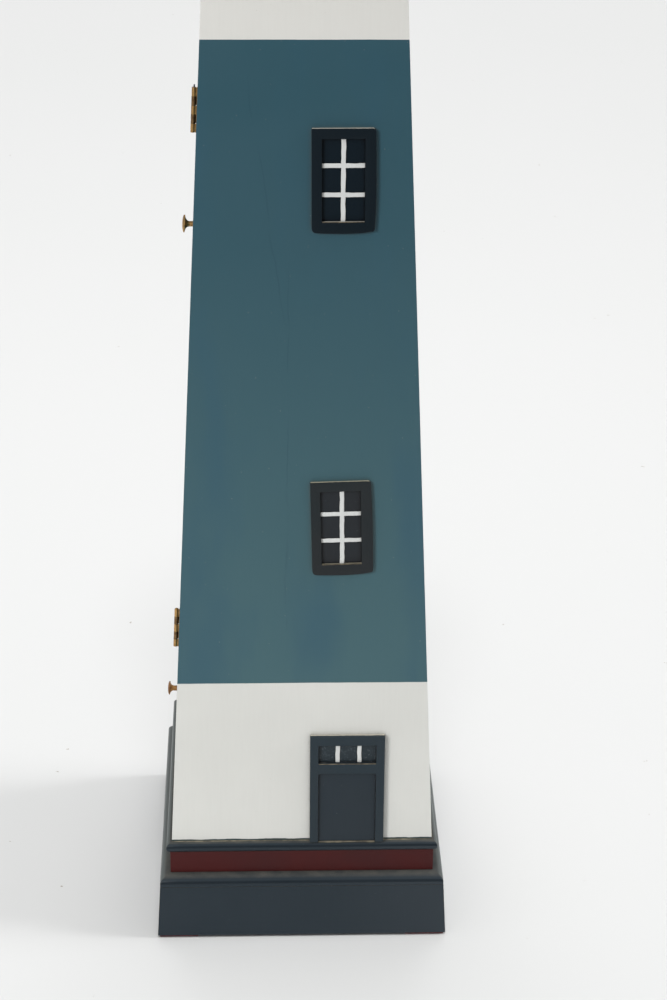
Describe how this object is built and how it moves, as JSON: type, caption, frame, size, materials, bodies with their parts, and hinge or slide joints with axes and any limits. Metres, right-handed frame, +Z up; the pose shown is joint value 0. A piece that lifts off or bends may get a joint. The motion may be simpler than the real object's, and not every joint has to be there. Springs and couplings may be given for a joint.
{
  "type": "lighthouse cabinet",
  "caption": "Tall tapered square wooden lighthouse cabinet on a stepped plinth, with a hinged side door over shelves, a drawer, mock windows and a lantern room on top.",
  "frame": {"origin": "on the floor under the middle of the plinth", "axes": "+Z up; -Y towards the front with the windows and the entry door; -X towards the side with the cupboard door and the drawer"},
  "size_m": [0.2766, 0.2766, 1.2388],
  "materials": {
    "slate_paint": "satin slate-blue paint on wood",
    "maroon_paint": "satin maroon paint on wood",
    "tower_paint": "satin paint in a blue band between two off-white bands, bare wood inside",
    "white_paint": "satin off-white paint on wood",
    "window_black": "satin blue-black paint on wood",
    "bare_wood": "clear-sealed pale softwood and plywood",
    "felt": "dark red felt",
    "brass": "aged lacquered brass",
    "steel": "zinc-plated steel",
    "black_plastic": "moulded black plastic",
    "lantern_glass": "clear pane"
  },
  "bodies": {
    "root": {"plinth_front": "slate_paint", "plinth_back": "slate_paint", "plinth_left": "slate_paint", "plinth_right": "slate_paint", "plinth_top_board": "slate_paint", "base_cap_board": "slate_paint", "entry_surround": "slate_paint", "entry_door_panel": "slate_paint", "gallery_deck": "slate_paint", "lantern_cap": "slate_paint", "riser_board": "maroon_paint", "lantern_base": "maroon_paint", "roof": "maroon_paint", "front_panel": "tower_paint", "back_panel": "tower_paint", "right_panel": "tower_paint", "left_upper_panel": "white_paint", "upper_window_bars": "white_paint", "lower_window_bars": "white_paint", "transom_bar_left": "white_paint", "transom_bar_right": "white_paint", "gallery_railing": "white_paint", "lantern_frame": "white_paint", "upper_window_frame": "window_black", "upper_window_pane": "window_black", "lower_window_frame": "window_black", "lower_window_pane": "window_black", "transom_pane": "window_black", "tower_top_board": "bare_wood", "drawer_divider": "bare_wood", "door_lintel": "bare_wood", "shelf_1": "bare_wood", "shelf_2": "bare_wood", "shelf_3": "bare_wood", "drawer_runner_front": "bare_wood", "drawer_runner_back": "bare_wood", "foot_pad_front_left": "felt", "foot_pad_front_right": "felt", "foot_pad_back_left": "felt", "foot_pad_back_right": "felt", "finial": "brass", "upper_hinge_frame_leaf": "brass", "upper_hinge_pin": "brass", "lower_hinge_frame_leaf": "brass", "lower_hinge_pin": "brass", "magnet_catch": "black_plastic", "lantern_glass": "lantern_glass"},
    "door": {"cabinet_door": "tower_paint", "door_knob": "brass", "door_knob_screw": "steel", "strike_plate": "steel", "upper_hinge_door_leaf": "brass", "lower_hinge_door_leaf": "brass"},
    "drawer": {"drawer_front": "white_paint", "drawer_side_front": "bare_wood", "drawer_side_back": "bare_wood", "drawer_back": "bare_wood", "drawer_bottom": "bare_wood", "drawer_knob": "brass", "drawer_knob_screw": "steel"}
  },
  "joints": [
    {"name": "door_hinge", "type": "hinge", "parent": "root", "child": "door", "pos_m": [-0.10331, -0.08996, 0.567], "axis": [0.0492, 0.0492, 0.9976], "range_deg": [0, 170]},
    {"name": "drawer_slide", "type": "slide", "parent": "root", "child": "drawer", "axis": [-1, 0, 0], "range_m": [0, 0.15]}
  ]
}
